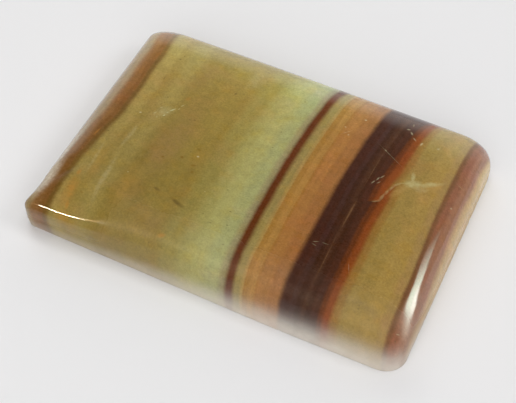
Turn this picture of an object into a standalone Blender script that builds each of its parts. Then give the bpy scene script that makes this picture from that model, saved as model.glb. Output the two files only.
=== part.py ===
"""A wagul jasper cabochon: one piece of banded stone, cut as a low domed rectangle.

The stone has a flat back, an upright ground wall all round and a polished top. The top is
almost flat in the middle and turns down to the wall in a shoulder, which is wider on some
sides than on others, as on a stone ground by hand. At the near left corner the wall stands
taller, and the shoulder there is a plain slope that meets it in a tight ridge. Under the ridge
the near wall leans in towards its foot.

Units are metres. The origin is under the middle of the flat back. X runs along the stone and
across its bands, Y runs along the bands from the near side to the far side, and Z is up.
"""

import math
from typing import NamedTuple

import bmesh
import bpy


class Shoulder(NamedTuple):
    """Section of the top's edge: its width in plan, the wall under it, and its roundness.

    The roundness is a superellipse's power: 2 is a quarter ellipse and 1 a straight slope.
    """

    width: float
    wall: float
    power: float


# Driving dimensions
LENGTH = 0.0330
WIDTH = 0.0250
HEIGHT = 0.0050

# How far the flat middle of the top has fallen where it would reach a side
CROWN_FALL = 0.00015

# Plan radii of the four upright corners
FAR_RIGHT_CORNER = 0.0022
FAR_LEFT_CORNER = 0.0021
NEAR_LEFT_CORNER = 0.0008
NEAR_RIGHT_CORNER = 0.0019

# Sections of the shoulder in the middle of each side, and of the ridge at one corner
RIGHT_SHOULDER = Shoulder(width=0.0040, wall=0.0014, power=2.0)
FAR_SHOULDER = Shoulder(width=0.0045, wall=0.0014, power=2.0)
LEFT_SHOULDER = Shoulder(width=0.0023, wall=0.0015, power=2.0)
NEAR_SHOULDER = Shoulder(width=0.0028, wall=0.0022, power=2.0)
RIDGE = Shoulder(width=0.0034, wall=0.0029, power=1.25)

# The ridge keeps its full strength over the first length from its corner along the near side,
# then fades over the second, and it has gone from the left side within the third
RIDGE_LENGTH = 0.0025
RIDGE_FADE = 0.0088
RIDGE_TURN = 0.0040

# The edge between wall and shoulder is softened by this much in height and in plan
ARRIS_FALL = 0.00022
ARRIS_WIDTH = 0.00040

# Bevel round the flat back
BACK_BEVEL = 0.00006

# The near wall is upright right of the start, and left of it its foot stands this much further
# in for each length, with the power of the wall's curve from its top down to its foot
LEAN_START = 0.0060
LEAN_SLOPE = 0.028
LEAN_POWER = 1.5

# Mesh fineness
CORNER_STEPS = 8
LONG_STEPS = 22
SHORT_STEPS = 16
WALL_RINGS = 4
SHOULDER_RINGS = 18
MIDDLE_RINGS = 6
SHOULDER_SPAN = 0.0048
MIDDLE_INSET = 0.0118
CORNER_GROWTH = 0.35

# Finish of the polished stone, from its widest, olive band
OLIVE = (0.285, 0.195, 0.058, 1.0)
POLISH_ROUGHNESS = 0.12


def clear_scene():
    """Remove every object that the file starts with."""
    for existing in list(bpy.data.objects):
        bpy.data.objects.remove(existing, do_unlink=True)


def smooth_step(value):
    """0 below 0, 1 above 1, and a smooth S between them."""
    value = min(max(value, 0.0), 1.0)
    return value * value * (3.0 - 2.0 * value)


def rise(distance, width, power):
    """Share of the shoulder's height reached at a distance from the wall: 0 there, 1 inside."""
    share = min(max(distance / width, 0.0), 1.0)
    return (1.0 - (1.0 - share) ** power) ** (1.0 / power)


def loop(inset):
    """Points of a rounded rectangle this far inside the stone's outline, each with its normal.

    Every inset gives the same number of points in the same order, each inside the one before
    it, and the corners grow rounder inwards.
    """
    half_x = LENGTH / 2 - inset
    half_y = WIDTH / 2 - inset
    corners = (
        (1, 1, FAR_RIGHT_CORNER),
        (-1, 1, FAR_LEFT_CORNER),
        (-1, -1, NEAR_LEFT_CORNER),
        (1, -1, NEAR_RIGHT_CORNER),
    )
    arcs = []
    for quarter, (side_x, side_y, radius) in enumerate(corners):
        radius = min(radius + CORNER_GROWTH * inset, 0.9 * half_y)
        centre_x = side_x * (half_x - radius)
        centre_y = side_y * (half_y - radius)
        arc = []
        for step in range(CORNER_STEPS + 1):
            angle = (quarter + step / CORNER_STEPS) * math.pi / 2
            normal = (math.cos(angle), math.sin(angle))
            arc.append((centre_x + radius * normal[0], centre_y + radius * normal[1], normal))
        arcs.append(arc)
    points = []
    for quarter, arc in enumerate(arcs):
        points.extend(arc)
        start_x, start_y, normal = arc[-1]
        end_x, end_y, _ = arcs[(quarter + 1) % 4][0]
        steps = LONG_STEPS if quarter % 2 == 0 else SHORT_STEPS
        for step in range(1, steps):
            share = step / steps
            x = start_x + (end_x - start_x) * share
            y = start_y + (end_y - start_y) * share
            points.append((x, y, normal))
    return points


def shoulder_at(x, y, normal):
    """The shoulder's section over a point of the outline.

    It turns from one side's section to the next side's as the outline's normal turns, in
    proportion to the squares of the normal's parts, and then towards the ridge's section
    near the ridge's corner.
    """
    along_x, along_y = normal[0] ** 2, normal[1] ** 2
    side_x = RIGHT_SHOULDER if normal[0] > 0 else LEFT_SHOULDER
    side_y = FAR_SHOULDER if normal[1] > 0 else NEAR_SHOULDER
    ridge = 1.0 - smooth_step((x + LENGTH / 2 - RIDGE_LENGTH) / RIDGE_FADE)
    ridge *= 1.0 - smooth_step((y + WIDTH / 2) / RIDGE_TURN)
    mixed = [along_x * a + along_y * b for a, b in zip(side_x, side_y)]
    return Shoulder(*[m + (r - m) * ridge for m, r in zip(mixed, RIDGE)])


def top_height(x, y, inset, shoulder):
    """Height of the polished top at (x, y), on the loop this far inside the outline.

    The crown is a very low paraboloid, the shoulder falls from it to the wall, and the arris
    rounds off the last of that fall.
    """
    crown = HEIGHT - CROWN_FALL * ((2 * x / LENGTH) ** 2 + (2 * y / WIDTH) ** 2)
    fall = (crown - shoulder.wall) * (1.0 - rise(inset, shoulder.width, shoulder.power))
    arris = ARRIS_FALL * (1.0 - rise(inset, ARRIS_WIDTH, 2.0))
    return crown - fall - arris


def lean(x, y, depth):
    """The place's y once the near wall leans in, at a depth from 0 at its top to 1 at its foot.

    The lean fades across the stone, so that the far wall stays where it is.
    """
    foot = LEAN_SLOPE * max(LEAN_START - x, 0.0) * (0.5 - y / WIDTH)
    return y + foot * depth**LEAN_POWER


def top_insets():
    """Insets of the loops from the wall to the middle, closest where the shoulder is steep."""
    shoulder = [SHOULDER_SPAN * (k / SHOULDER_RINGS) ** 2 for k in range(SHOULDER_RINGS + 1)]
    span = MIDDLE_INSET - SHOULDER_SPAN
    middle = [SHOULDER_SPAN + span * (k + 1) / MIDDLE_RINGS for k in range(MIDDLE_RINGS)]
    return shoulder + middle


def add_ring(stone, points):
    """Add a closed loop of vertices and edges, and return its edges."""
    corners = [stone.verts.new(point) for point in points]
    return [stone.edges.new(ends) for ends in zip(corners, corners[1:] + corners[:1])]


def build_rings(stone):
    """Lay the rings from the flat back up the wall and over the top to its middle."""
    rings = [add_ring(stone, [(x, lean(x, y, 1.0), 0.0) for x, y, _ in loop(BACK_BEVEL)])]
    outline = loop(0.0)
    sections = [shoulder_at(x, y, normal) for x, y, normal in outline]
    for step in range(WALL_RINGS):
        depth = 1.0 - step / WALL_RINGS
        points = []
        for (x, y, _), section in zip(outline, sections):
            rim = top_height(x, y, 0.0, section)
            points.append((x, lean(x, y, depth), rim + (BACK_BEVEL - rim) * depth))
        rings.append(add_ring(stone, points))
    for inset in top_insets():
        points = []
        for (x, y, _), section in zip(loop(inset), sections):
            points.append((x, y, top_height(x, y, inset, section)))
        rings.append(add_ring(stone, points))
    return rings


def build_mesh():
    """Join the rings into one closed body, with a flat face at the back and at the middle."""
    stone = bmesh.new()
    rings = build_rings(stone)
    for lower, upper in zip(rings, rings[1:]):
        bmesh.ops.bridge_loops(stone, edges=lower + upper)
    bmesh.ops.contextual_create(stone, geom=rings[0])
    bmesh.ops.contextual_create(stone, geom=rings[-1])
    bmesh.ops.recalc_face_normals(stone, faces=stone.faces)
    mesh = bpy.data.meshes.new("cabochon")
    stone.to_mesh(mesh)
    stone.free()
    mesh.shade_smooth()
    mesh.set_sharp_from_angle(angle=math.radians(40))
    return mesh


def polished_jasper():
    """The plain finish of the whole stone: opaque, polished and not metallic."""
    material = bpy.data.materials.new("polished_jasper")
    material.use_nodes = True
    shader = material.node_tree.nodes["Principled BSDF"]
    shader.inputs["Base Color"].default_value = OLIVE
    shader.inputs["Roughness"].default_value = POLISH_ROUGHNESS
    shader.inputs["Metallic"].default_value = 0.0
    material.diffuse_color = OLIVE
    return material


def build_cabochon():
    """Put the finished stone into the scene, resting on its flat back."""
    mesh = build_mesh()
    mesh.materials.append(polished_jasper())
    cabochon = bpy.data.objects.new("cabochon", mesh)
    bpy.context.scene.collection.objects.link(cabochon)
    return cabochon


clear_scene()
build_cabochon()
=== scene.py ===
"""Looks of a wagul jasper cabochon: one rectangular stone, banded across its length and polished.

The stone's shape follows the plain solid of the frame: loops inside a rounded rectangle, a wall,
and a shoulder that differs from side to side. This script works the same shape out on a finer
grid, adds the low waves and nicks of a stone ground by hand, and gives it the layers of
the jasper. Lengths in the stone's own classes are millimetres and become metres in its mesh.
"""

import logging
import math
from dataclasses import dataclass, field
from enum import Enum
from typing import ClassVar

import bpy
import numpy as np
from mathutils import Matrix, Vector


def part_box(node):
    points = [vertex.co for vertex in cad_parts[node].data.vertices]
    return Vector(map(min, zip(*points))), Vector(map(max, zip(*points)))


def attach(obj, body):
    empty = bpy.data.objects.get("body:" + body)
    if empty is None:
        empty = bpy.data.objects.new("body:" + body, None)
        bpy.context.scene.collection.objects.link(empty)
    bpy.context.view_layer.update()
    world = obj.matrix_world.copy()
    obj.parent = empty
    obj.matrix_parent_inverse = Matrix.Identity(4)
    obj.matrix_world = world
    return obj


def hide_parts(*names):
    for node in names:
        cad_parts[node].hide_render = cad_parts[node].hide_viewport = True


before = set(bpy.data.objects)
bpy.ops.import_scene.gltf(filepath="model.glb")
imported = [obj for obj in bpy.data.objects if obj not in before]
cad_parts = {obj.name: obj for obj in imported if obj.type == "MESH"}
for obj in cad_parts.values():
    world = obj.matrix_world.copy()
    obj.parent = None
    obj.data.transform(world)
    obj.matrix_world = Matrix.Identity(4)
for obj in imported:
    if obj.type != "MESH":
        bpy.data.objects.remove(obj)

LOG = logging.getLogger("cabochon")

MM = 0.001

Socket = bpy.types.NodeSocket

# A start and a run, or a least and a greatest value
Span = tuple[float, float]


def linear(hex_code: str) -> tuple[float, float, float, float]:
    """Turn an sRGB hex colour into the linear colour that a shader takes.

    Each channel c becomes c / 12.92 below 0.04045 and ((c + 0.055) / 1.055) ** 2.4 above it.

    Args:
        hex_code: Six hex digits, with or without a leading hash.

    Returns:
        Linear red, green and blue, and an alpha of 1.
    """
    digits = hex_code.lstrip("#")
    channels = []
    for start in (0, 2, 4):
        c = int(digits[start:start + 2], 16) / 255
        channels.append(c / 12.92 if c <= 0.04045 else ((c + 0.055) / 1.055) ** 2.4)
    return (channels[0], channels[1], channels[2], 1.0)


def smooth(value: np.ndarray) -> np.ndarray:
    """0 below 0, 1 above 1 and 3v^2 - 2v^3 between them, for a whole array."""
    value = np.clip(value, 0.0, 1.0)
    return value * value * (3.0 - 2.0 * value)


def ease(value: np.ndarray, start: float, run: float) -> np.ndarray:
    """0 up to the start, 1 from start + run on, and a smooth S between them."""
    return smooth((value - start) / run)


def put(name: str, data: bpy.types.ID) -> bpy.types.Object:
    """Put a new object into the scene.

    Args:
        name: The object's name.
        data: The mesh, lamp or camera that it shows.

    Returns:
        The object.
    """
    made = bpy.data.objects.new(name, data)
    bpy.context.scene.collection.objects.link(made)
    return made


def fill_ramp(ramp: bpy.types.ColorRamp, stops: list[tuple[float, tuple[float, ...]]]) -> None:
    """Give a colour ramp its stops.

    Args:
        ramp: The ramp, with the two stops that a new one has.
        stops: Place from 0 to 1 and colour of each stop, in the order of their places.
    """
    while len(ramp.elements) < len(stops):
        ramp.elements.new(1.0)
    for element, (at, look) in zip(ramp.elements, stops):
        element.position = at
        element.color = look


@dataclass
class Graph:
    """The node tree of one material or world."""

    tree: bpy.types.NodeTree

    def add(
        self, kind: str, sockets: dict | tuple | list = (), out: int | str = 0, **settings: object
    ) -> Socket:
        """Add a node, set it up and link it.

        Args:
            kind: Blender's name for the node, after ShaderNode.
            sockets: A value, or the output that feeds it, for each input: either by the
                input's name or number, or one after another from the first input on.
            out: Which output to hand back.
            settings: The node's own properties.

        Returns:
            The chosen output socket, whose node is its node.
        """
        node = self.tree.nodes.new("ShaderNode" + kind)
        for name, value in settings.items():
            setattr(node, name, value)
        inputs = sockets if isinstance(sockets, dict) else dict(enumerate(sockets))
        for key, value in inputs.items():
            if isinstance(value, bpy.types.NodeSocket):
                self.tree.links.new(value, node.inputs[key])
            else:
                node.inputs[key].default_value = value
        return node.outputs[out]


@dataclass(frozen=True)
class Shoulder:
    """Section of the top's edge: width in plan, wall under it, and the superellipse's power."""

    width: float
    wall: float
    power: float

    def row(self) -> np.ndarray:
        """The three values as one row of an array."""
        return np.array([self.width, self.wall, self.power])


@dataclass(frozen=True)
class Trace:
    """A listed line of points in plan, in mm, such as a crack."""

    points: tuple[tuple[float, float], ...]

    def measure(self, x: np.ndarray, y: np.ndarray) -> tuple[np.ndarray, np.ndarray]:
        """Distance from each place to the line, and the side of it that the place is on.

        For each stretch, the nearest point is its start plus its run times the clamped share
        (place - start) . run / run^2. The least distance over the stretches counts, and the
        sign of run x (place - start) there gives the side.

        Args:
            x: Places along the stone.
            y: Places along the bands.

        Returns:
            The distances, and +1 on the right of the line's direction or -1 on its left.
        """
        nearest = np.full(x.shape, np.inf)
        side = np.ones(x.shape)
        for (ax, ay), (bx, by) in zip(self.points, self.points[1:]):
            run_x, run_y = bx - ax, by - ay
            share = ((x - ax) * run_x + (y - ay) * run_y) / (run_x**2 + run_y**2)
            share = np.clip(share, 0.0, 1.0)
            gap = np.hypot(x - ax - share * run_x, y - ay - share * run_y)
            turn = run_x * (y - ay) - run_y * (x - ax)
            closer = gap < nearest
            nearest = np.where(closer, gap, nearest)
            side = np.where(closer, np.where(turn < 0, 1.0, -1.0), side)
        return nearest, side


@dataclass(frozen=True)
class Guide:
    """Course of one layer boundary over the top: x = at + skew t + bend t^2 + curl t^3.

    Here t is y over REACH, so the three factors are millimetres at 10 mm from the middle. Each
    sway adds a gentle bulge: its middle y, its reach along y and its amount, in mm.
    """

    at: float
    skew: float
    bend: float
    curl: float
    sways: tuple[tuple[float, float, float], ...] = ()

    REACH: ClassVar[float] = 10.0

    def drift(self, y: np.ndarray) -> np.ndarray:
        """How far the boundary stands from its course's start at each y.

        A sway is amount exp(-((y - middle) / reach)^2).

        Args:
            y: Places along the bands.

        Returns:
            The offsets in mm.
        """
        t = y / self.REACH
        drift = self.skew * t + self.bend * t**2 + self.curl * t**3
        for middle, reach, amount in self.sways:
            drift = drift + amount * np.exp(-(((y - middle) / reach) ** 2))
        return drift


@dataclass
class Strata:
    """The lie of the layers in the stone: nearly upright sheets, gently bent along the bands."""

    # How far the sheets lean along x for each mm down, and how often their place is worked out
    lean: float = -0.07
    rounds: int = 3
    guides: tuple[Guide, ...] = (
        Guide(-13.35, 0.720, -0.663, -0.388, ((4.8, 1.9, -0.20), (-1.4, 1.2, 0.14))),
        Guide(-2.81, 0.178, 0.481, 0.313),
        Guide(1.43, 0.169, 0.424, 0.112),
        Guide(5.96, 0.281, 0.344, 0.141),
        Guide(9.06, 0.017, 0.574, 0.421),
        Guide(9.99, 0.051, 0.436, 0.349),
        Guide(14.26, -0.281, 0.245, 0.181, ((5.5, 2.0, 0.06), (-6.0, 1.5, 0.04))),
    )

    # The healed crack from its lower end to its upper one, the layers' slip on either side of
    # it, where that slip is greatest and how far it reaches, and the fade of the crack's ends
    crack: Trace = Trace((
        (9.0, -0.75), (9.6, -0.4), (9.8, 0.5), (10.2, 1.8), (10.6, 2.3), (11.1, 2.55),
        (11.6, 2.75), (12.4, 3.05), (13.0, 3.45), (13.5, 3.8), (14.1, 4.5),
    ))
    throw_above: float = 0.28
    throw_below: float = -0.22
    throw_reach: float = 2.4
    throw_middle: tuple[float, float] = (9.6, 0.3)
    crack_fade: float = 1.1

    def coordinate(self, points: np.ndarray, top: float) -> np.ndarray:
        """Layer coordinate of each point: its x, once the layers' bends are taken out.

        s = x - drift(s, y) - lean (z - top) + throw. The drift is read between the guides in
        proportion to s, so s is found by repeating the sum a few times. The throw is the
        small slip of the layers across the healed crack, which dies away from its lower end
        as exp(-(distance / reach)^2).

        Args:
            points: Rows of x, y, z in mm.
            top: Height of the crown.

        Returns:
            The layer coordinate in mm.
        """
        x, y, z = points.T
        straight = x - self.lean * (z - top)
        places = np.array([guide.at for guide in self.guides])
        drifts = np.array([guide.drift(y) for guide in self.guides])
        s = straight.copy()
        for _ in range(self.rounds):
            spot = np.interp(s, places, np.arange(len(places)))
            lower = np.minimum(spot.astype(int), len(places) - 2)
            share = spot - lower
            rows = np.arange(len(s))
            drift = drifts[lower, rows] * (1 - share) + drifts[lower + 1, rows] * share
            s = straight - drift
        _, side = self.crack.measure(x, y)
        away = np.hypot(x - self.throw_middle[0], y - self.throw_middle[1])
        fading = np.exp(-((away / self.throw_reach) ** 2))
        return s + np.where(side > 0, self.throw_below, self.throw_above) * fading

    def healed(self, points: np.ndarray) -> tuple[np.ndarray, np.ndarray]:
        """Distance from the healed crack, and how strongly it shows there.

        It shows fully in the middle of its length, and fades over crack_fade at both ends.

        Args:
            points: Rows of x, y, z in mm.

        Returns:
            Distances in mm, and strengths from 0 to 1.
        """
        x, y = points[:, 0], points[:, 1]
        gap, _ = self.crack.measure(x, y)
        (first_x, first_y), (last_x, last_y) = self.crack.points[0], self.crack.points[-1]
        start = smooth(np.hypot(x - first_x, y - first_y) / self.crack_fade)
        end = smooth(np.hypot(x - last_x, y - last_y) / self.crack_fade)
        return gap, start * end


@dataclass(frozen=True)
class Mark:
    """A soft-edged oval in plan, such as a speck, a scuff or a stain.

    Its middle and half sizes are in mm, and its turn is in degrees from the X axis.
    """

    name: str
    x: float
    y: float
    long: float
    wide: float
    turn: float
    strength: float


@dataclass(frozen=True)
class Stain:
    """Marks that share one colour, and how hard their edges are, from 0 to 1."""

    name: str
    colour: str
    hard: float
    marks: tuple[Mark, ...]


@dataclass(frozen=True)
class Nick:
    """A small shell-shaped chip: a ball that bites this deep into the stone's edge."""

    x: float
    y: float
    z: float
    radius: float
    bite: float


@dataclass
class Cabochon:
    """The stone. Sizes are in mm, and its three outer sizes come from the frame."""

    length: float
    width: float
    height: float

    # How far the flat middle of the top has fallen where it would reach a side
    crown_fall: float = 0.15

    # Plan radii of the upright corners, their growth for each mm inwards, and their limit as a
    # share of half the width
    far_right_corner: float = 2.2
    far_left_corner: float = 2.1
    near_left_corner: float = 0.8
    near_right_corner: float = 1.9
    corner_growth: float = 0.35
    corner_limit: float = 0.9

    # Sections of the shoulder in the middle of each side, and of the ridge at one corner
    right: Shoulder = Shoulder(4.0, 1.4, 2.0)
    far: Shoulder = Shoulder(4.5, 1.4, 2.0)
    left: Shoulder = Shoulder(2.3, 1.5, 2.0)
    near: Shoulder = Shoulder(2.8, 2.2, 2.0)
    ridge: Shoulder = Shoulder(3.4, 2.9, 1.25)

    # The ridge's fade along the near side, as a start and a run, and its fade along the left one
    ridge_fade: Span = (2.5, 8.8)
    ridge_turn: float = 4.0

    # The soft edge between wall and shoulder, and the bevel round the back
    arris_fall: float = 0.22
    arris_width: float = 0.40
    back_bevel: float = 0.06

    # The near wall is upright right of the start, and leans in more and more left of it
    lean_start: float = 6.0
    lean_slope: float = 0.028
    lean_power: float = 1.5

    # The mesh: cells across and along each face, rows down the wall and bevel, each corner's
    # share of the turn, and how the loops crowd over the shoulder
    columns: int = 240
    rows: int = 180
    wall_rows: int = 9
    bevel_rows: int = 3
    corner_share: float = 0.10
    middle_share: float = 0.62
    shoulder_span: float = 4.8
    crowding: float = 1.6

    # Low waves of hand grinding: their spans, and their height for each mm of span
    wave_spans: tuple[float, ...] = (9.0, 6.5, 4.6, 3.1, 2.2)
    wave_slope: float = 0.0006
    grinding_seed: int = 7

    # Chips on the lower edge: their balls' radii and bites, their height as a share of the
    # bevel, and the height on the stone's axis that they face away from
    nick_seed: int = 11
    nick_count: int = 34
    nick_radii: Span = (0.25, 0.6)
    nick_bites: Span = (0.03, 0.09)
    nick_level: float = 0.5
    nick_aim: float = 1.5

    # Frosting left by the wheel, whose pale dust is partly painted light: a painted white veil of
    # reflected light along the near side, and painted light on the walls. How high it climbs and
    # how strong it is on the walls, and on the near side where it is strongest
    wall_reach: float = 2.0
    wall_frost: float = 0.45
    near_reach: float = 3.4
    near_frost_and_veil: float = 1.0

    # Where the near side's frosting and painted veil fade inwards, and where they grow along the
    # stone, each as
    # a start and a run
    near_depth: Span = (0.6, 1.2)
    near_growth: Span = (-16.0, 29.0)

    # The same frosting and painted veil round the near right corner: its strength, and where it fades
    # inwards
    # from the right end and along that end
    corner_frost_and_veil: float = 0.7
    corner_depth: Span = (0.3, 0.9)
    corner_length: Span = (1.5, 9.0)

    # A faint haze over the near shoulder: its strength, its fade inwards, and its growth
    haze: float = 0.05
    haze_depth: Span = (2.2, 3.0)
    haze_growth: Span = (-11.0, 2.5)

    # The ground back: the height where its finish starts to pass into the wall's, and the run
    # as a share of the bevel
    back_start: float = 0.02
    back_run: float = 0.6

    # Painted light and shade: the stone is drawn lighter towards the far side and darker towards
    # the near side, as the light falls. How much lighter it grows for each mm of y, at three places
    # along it, and the range of y that counts
    painted_light_gradient_x: tuple[float, ...] = (-4.0, -1.0, 12.0)
    painted_light_gradient_slopes: tuple[float, ...] = (0.024, 0.013, 0.004)
    painted_light_gradient_range: Span = (-4.5, 6.5)

    strata: Strata = field(default_factory=Strata)

    def loop(self, turn: np.ndarray, inset: np.ndarray) -> tuple[np.ndarray, ...]:
        """Places on rounded rectangles inside the outline, with the outline's normal there.

        A turn of 0, 1, 2 or 3 is the middle of the far right, far left, near left or near
        right corner's arc. Within corner_share of it the place is the arc's centre plus its
        radius times (cos, sin) of an angle that grows evenly, and between two arcs the place
        runs straight from one's end to the next one's start.

        Args:
            turn: Place round the loop, from 0 to 4.
            inset: Distance inside the outline.

        Returns:
            x, y, and the normal's x and y.
        """
        half_x = self.length / 2 - inset
        half_y = self.width / 2 - inset
        near_corner = np.rint(turn)
        off = turn - near_corner
        in_arc = np.abs(off) <= self.corner_share

        def arc(corner: np.ndarray, share: np.ndarray) -> tuple[np.ndarray, ...]:
            """Places on the corners' arcs.

            Args:
                corner: Which corner's arc each place is on, counted on past 3.
                share: How far along its arc each place is, from 0 to 1.

            Returns:
                x, y, and the cosine and sine of the arc's angle, which are its normal.
            """
            index = corner.astype(int) % 4
            side_x = np.array([1, -1, -1, 1])[index]
            side_y = np.array([1, 1, -1, -1])[index]
            radii = np.array([
                self.far_right_corner, self.far_left_corner,
                self.near_left_corner, self.near_right_corner,
            ])[index]
            radius = np.minimum(radii + self.corner_growth * inset, self.corner_limit * half_y)
            angle = (index + share) * np.pi / 2
            c, s = np.cos(angle), np.sin(angle)
            x = side_x * (half_x - radius) + radius * c
            y = side_y * (half_y - radius) + radius * s
            return x, y, c, s

        in_corner = arc(near_corner, np.clip(off / self.corner_share / 2 + 0.5, 0, 1))
        before = np.floor(turn)
        start = arc(before, np.ones_like(turn))
        end = arc(before + 1, np.zeros_like(turn))
        along = (turn - before - self.corner_share) / (1 - 2 * self.corner_share)
        straight_x = start[0] + (end[0] - start[0]) * along
        straight_y = start[1] + (end[1] - start[1]) * along
        x = np.where(in_arc, in_corner[0], straight_x)
        y = np.where(in_arc, in_corner[1], straight_y)
        normal_x = np.where(in_arc, in_corner[2], start[2])
        normal_y = np.where(in_arc, in_corner[3], start[3])
        return x, y, normal_x, normal_y

    def section(self, turn: np.ndarray) -> np.ndarray:
        """Shoulder over each place round the outline, as rows of width, wall and power.

        The sections of two sides are mixed by the squares of the normal's parts, and near
        the near left corner the result turns to the ridge's section.

        Args:
            turn: Place round the outline.

        Returns:
            An array of three columns.
        """
        x, y, normal_x, normal_y = self.loop(turn, np.zeros_like(turn))
        side_x = np.where((normal_x > 0)[:, None], self.right.row(), self.left.row())
        side_y = np.where((normal_y > 0)[:, None], self.far.row(), self.near.row())
        mixed = (normal_x**2)[:, None] * side_x + (normal_y**2)[:, None] * side_y
        ridge = 1 - ease(x + self.length / 2, *self.ridge_fade)
        ridge = ridge * (1 - ease(y + self.width / 2, 0.0, self.ridge_turn))
        return mixed + (self.ridge.row() - mixed) * ridge[:, None]

    @staticmethod
    def rise(distance: np.ndarray, width: np.ndarray, power: np.ndarray) -> np.ndarray:
        """Share of a shoulder's height at a distance d: (1 - (1 - d / width)^p)^(1 / p)."""
        share = np.clip(distance / width, 0.0, 1.0)
        return (1 - (1 - share) ** power) ** (1 / power)

    def top_height(
        self, x: np.ndarray, y: np.ndarray, inset: np.ndarray, section: np.ndarray
    ) -> np.ndarray:
        """Height of the top: crown - (crown - wall)(1 - rise) - arris (1 - rise of the arris).

        Args:
            x: Place along the stone.
            y: Place along the bands.
            inset: Distance inside the outline.
            section: Rows of the shoulder's width, wall and power.

        Returns:
            The heights in mm.
        """
        width, wall, power = section.T
        low = (2 * x / self.length) ** 2 + (2 * y / self.width) ** 2
        crown = self.height - self.crown_fall * low
        fall = (crown - wall) * (1 - self.rise(inset, width, power))
        arris = self.arris_fall * (1 - self.rise(inset, self.arris_width, 2.0))
        return crown - fall - arris

    def grid(self) -> tuple[np.ndarray, np.ndarray, np.ndarray]:
        """The square grid that covers a face of the stone.

        With u and v from -1 to 1 and m the greater of |u| and |v|, each m is one loop: the
        turn round it is how far along the square's side the point lies.

        Returns:
            m, the turn, and the grid numbers of the rim's points in the order of their turn.
        """
        u, v = np.meshgrid(
            np.linspace(-1, 1, self.columns + 1), np.linspace(-1, 1, self.rows + 1)
        )
        u, v = u.ravel(), v.ravel()
        m = np.maximum(np.abs(u), np.abs(v))
        scale = np.where(m > 0, m, 1.0)
        on_row = np.abs(v) >= np.abs(u)
        turn = np.select(
            [on_row & (v > 0), ~on_row & (u < 0), on_row, ~on_row],
            [(1 - u / scale) / 2, 1 + (1 - v / scale) / 2,
             2 + (1 + u / scale) / 2, 3 + (1 + v / scale) / 2],
        )
        on_rim = np.flatnonzero(m == 1.0)
        rim = on_rim[np.argsort(turn[on_rim], kind="stable")]
        return m, turn, rim

    def face(self, m: np.ndarray, turn: np.ndarray, first: float) -> tuple[np.ndarray, ...]:
        """Places of a face's grid in plan.

        From the rim to middle_share the inset grows as span ((1 - m) / (1 - middle))^crowding,
        and inside that the loop is scaled down to the middle.

        Args:
            m: Loop of each grid point.
            turn: Place round its loop.
            first: Inset of the rim.

        Returns:
            x, y and the inset.
        """
        outer = np.clip((1 - m) / (1 - self.middle_share), 0, 1)
        inset = first + (self.shoulder_span - first) * outer**self.crowding
        x, y, _, _ = self.loop(turn, inset)
        scale = np.minimum(m / self.middle_share, 1.0)
        return x * scale, y * scale, inset

    def lean(self, x: np.ndarray, y: np.ndarray, depth: float) -> np.ndarray:
        """The places' y once the near wall leans in towards its foot, under the ridge.

        y + slope max(0, start - x) (1/2 - y / width) depth^power, so that the lean grows to
        the left, and fades across the stone to nothing at the far wall.

        Args:
            x: Places along the stone.
            y: Places along the bands.
            depth: Depth down the wall, from 0 at its top to 1 at its foot.

        Returns:
            The new y.
        """
        foot = self.lean_slope * np.maximum(self.lean_start - x, 0) * (0.5 - y / self.width)
        return y + foot * depth**self.lean_power

    def skin(self) -> tuple[np.ndarray, np.ndarray]:
        """The whole closed surface: top, wall, bevel and back.

        Returns:
            Points in mm, and four point numbers for each face, seen from outside.
        """
        m, turn, rim = self.grid()
        count = len(m)
        top_x, top_y, inset = self.face(m, turn, 0.0)
        sections = self.section(turn)
        top_z = self.top_height(top_x, top_y, inset, sections)
        top = np.column_stack([top_x, top_y, top_z])
        back_x, back_y, _ = self.face(m, turn, self.back_bevel)
        back = np.column_stack([back_x, self.lean(back_x, back_y, 1.0), np.zeros(count)])

        round_turn = turn[rim]
        rim_x, rim_y, _, _ = self.loop(round_turn, np.zeros(len(rim)))
        rings = []
        for k in range(1, self.wall_rows + 1):
            share = k / self.wall_rows
            z = top_z[rim] + (self.back_bevel - top_z[rim]) * share
            rings.append(np.column_stack([rim_x, self.lean(rim_x, rim_y, share), z]))
        for k in range(1, self.bevel_rows):
            angle = k / self.bevel_rows * np.pi / 2
            inward = self.back_bevel * (1 - math.cos(angle))
            ring_x, ring_y, _, _ = self.loop(round_turn, np.full(len(rim), inward))
            z = np.full(len(rim), self.back_bevel * (1 - math.sin(angle)))
            rings.append(np.column_stack([ring_x, self.lean(ring_x, ring_y, 1.0), z]))

        points = np.concatenate([top, back, *rings])
        across = self.columns + 1
        cell = np.arange(count).reshape(-1, across)
        quad = np.stack([cell[:-1, :-1], cell[:-1, 1:], cell[1:, 1:], cell[1:, :-1]], -1)
        quad = quad.reshape(-1, 4)
        ring_ids = [rim]
        ring_ids += [2 * count + k * len(rim) + np.arange(len(rim)) for k in range(len(rings))]
        ring_ids.append(rim + count)
        side = []
        for upper, lower in zip(ring_ids, ring_ids[1:]):
            side.append(np.stack([upper, lower, np.roll(lower, -1), np.roll(upper, -1)], -1))
        faces = np.concatenate([quad, quad[:, ::-1] + count, *side])
        return points, faces

    @staticmethod
    def normals(points: np.ndarray, faces: np.ndarray) -> np.ndarray:
        """Normal of each point: the sum of the crossed diagonals of its faces, made unit.

        Args:
            points: Rows of x, y, z.
            faces: Four point numbers for each face.

        Returns:
            Rows of the normals' x, y, z.
        """
        crossed = np.cross(
            points[faces[:, 2]] - points[faces[:, 0]], points[faces[:, 3]] - points[faces[:, 1]]
        )
        total = np.zeros_like(points)
        for corner in range(4):
            np.add.at(total, faces[:, corner], crossed)
        return total / np.linalg.norm(total, axis=1, keepdims=True)

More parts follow.
